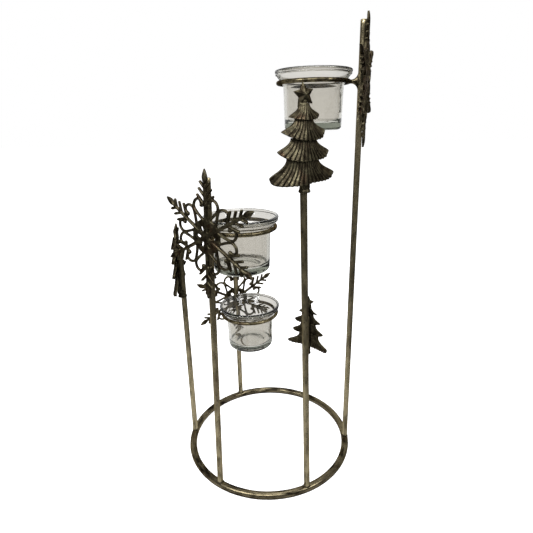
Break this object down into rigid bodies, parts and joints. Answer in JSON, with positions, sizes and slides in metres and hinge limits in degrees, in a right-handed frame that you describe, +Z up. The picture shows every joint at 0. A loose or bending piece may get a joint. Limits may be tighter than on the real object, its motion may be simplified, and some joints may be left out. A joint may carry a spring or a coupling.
{
  "type": "votive candle holder",
  "caption": "Spiral stand of wire rods on a ring base, with cast trees and snowflakes and flared glass votive cups in wire rings.",
  "frame": {"origin": "centre of the base ring, on the surface that the stand rests on", "axes": "+Z up, +X from the centre towards the rod of the top cup; the columns climb counter-clockwise seen from above"},
  "size_m": [0.1865, 0.1911, 0.4092],
  "materials": {
    "antique_wire": "antique brass over dark brown, rubbed",
    "antique_casting": "dark antique bronze with brass highlights",
    "weld_metal": "dark, uneven",
    "clear_glass": "clear pressed glass"
  },
  "bodies": {
    "stand": {"base_ring": "antique_wire", "foot_welds": "weld_metal", "rod_low_tree": "antique_wire", "rod_low_cup": "antique_wire", "rod_middle_tree": "antique_wire", "rod_middle_cup": "antique_wire", "rod_top_tree": "antique_wire", "rod_top_cup": "antique_wire", "cup_ring_low": "antique_wire", "cup_ring_middle": "antique_wire", "cup_ring_top": "antique_wire", "snowflake_low": "antique_casting", "snowflake_middle": "antique_casting", "snowflake_top": "antique_casting", "tree_low": "antique_casting", "tree_middle": "antique_casting", "tree_top": "antique_casting"},
    "cup_low": {"glass_cup_low": "clear_glass"},
    "cup_middle": {"glass_cup_middle": "clear_glass"},
    "cup_top": {"glass_cup_top": "clear_glass"}
  },
  "joints": [
    {"name": "lift_low_cup", "type": "slide", "parent": "stand", "child": "cup_low", "axis": [0, 0, 1], "range_m": [0, 0.32]},
    {"name": "lift_middle_cup", "type": "slide", "parent": "stand", "child": "cup_middle", "axis": [0, 0, 1], "range_m": [0, 0.21]},
    {"name": "lift_top_cup", "type": "slide", "parent": "stand", "child": "cup_top", "axis": [0, 0, 1], "range_m": [0, 0.1]}
  ]
}
